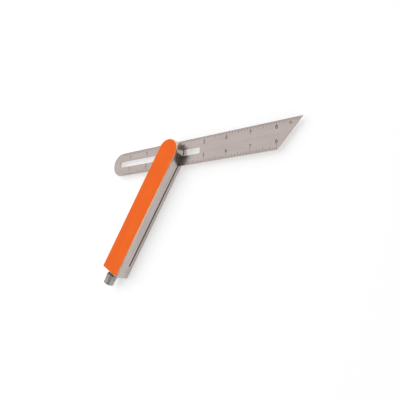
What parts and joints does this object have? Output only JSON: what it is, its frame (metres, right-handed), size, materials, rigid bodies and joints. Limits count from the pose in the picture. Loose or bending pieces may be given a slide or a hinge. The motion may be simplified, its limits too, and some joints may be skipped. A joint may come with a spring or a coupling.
{
  "type": "sliding bevel",
  "caption": "Sliding bevel: a slotted blade with inch marks swings and slides in a slotted stock, and a knob at the stock's butt locks it at any angle.",
  "frame": {"origin": "centre of the stock's back face, half way along the stock", "axes": "+Y along the stock to its round head, +Z out of the coloured front face, +X to the side that the blade points to"},
  "size_m": [0.1957, 0.2299, 0.0165],
  "materials": {
    "stock_metal": "brushed, natural anodised",
    "orange_panel": "satin orange anodised",
    "blade_steel": "fine brushed along the blade",
    "steel_parts": "turned",
    "brass_parts": "turned",
    "dark_washer": "matt",
    "knob_metal": "grey anodised, fluted"
  },
  "bodies": {
    "stock": {"stock_body": "stock_metal", "front_panel": "orange_panel", "threaded_insert": "brass_parts", "friction_washer": "dark_washer", "nut_washer": "steel_parts", "disc_spring": "steel_parts", "return_spring": "steel_parts"},
    "guide": {"blade_guide": "brass_parts"},
    "blade": {"blade": "blade_steel"},
    "clamp": {"clamp_stud": "steel_parts", "adjusting_nut": "steel_parts"},
    "rod": {"push_rod": "steel_parts"},
    "knob": {"lock_knob": "knob_metal", "lock_screw": "steel_parts", "stop_ring": "steel_parts", "knob_pin": "steel_parts"}
  },
  "joints": [
    {"name": "blade_swing", "type": "hinge", "parent": "stock", "child": "guide", "pos_m": [0, 0.062, 0.00535], "axis": [0, 0, 1], "range_deg": [-104, 228]},
    {"name": "blade_slide", "type": "slide", "parent": "guide", "child": "blade", "axis": [0.8838, 0.4679, 0], "range_m": [-0.0293, 0.0728]},
    {"name": "rod_travel", "type": "slide", "parent": "stock", "child": "rod", "axis": [0, 1, 0], "range_m": [0, 0.001], "deforming": ["return_spring"]},
    {"name": "lock_turn", "type": "hinge", "parent": "rod", "child": "knob", "pos_m": [0, -0.0765, 0.0096], "axis": [0, 1, 0], "range_deg": [0, 360]},
    {"name": "stud_lift", "type": "slide", "parent": "stock", "child": "clamp", "axis": [0, 0, 1], "range_m": [0, 0.00034], "deforming": ["disc_spring"]}
  ],
  "couplings": [
    {"joint": "lock_turn", "follows": "rod_travel", "rad_per_m": 6283.2},
    {"joint": "stud_lift", "follows": "rod_travel", "ratio": 0.33333}
  ]
}
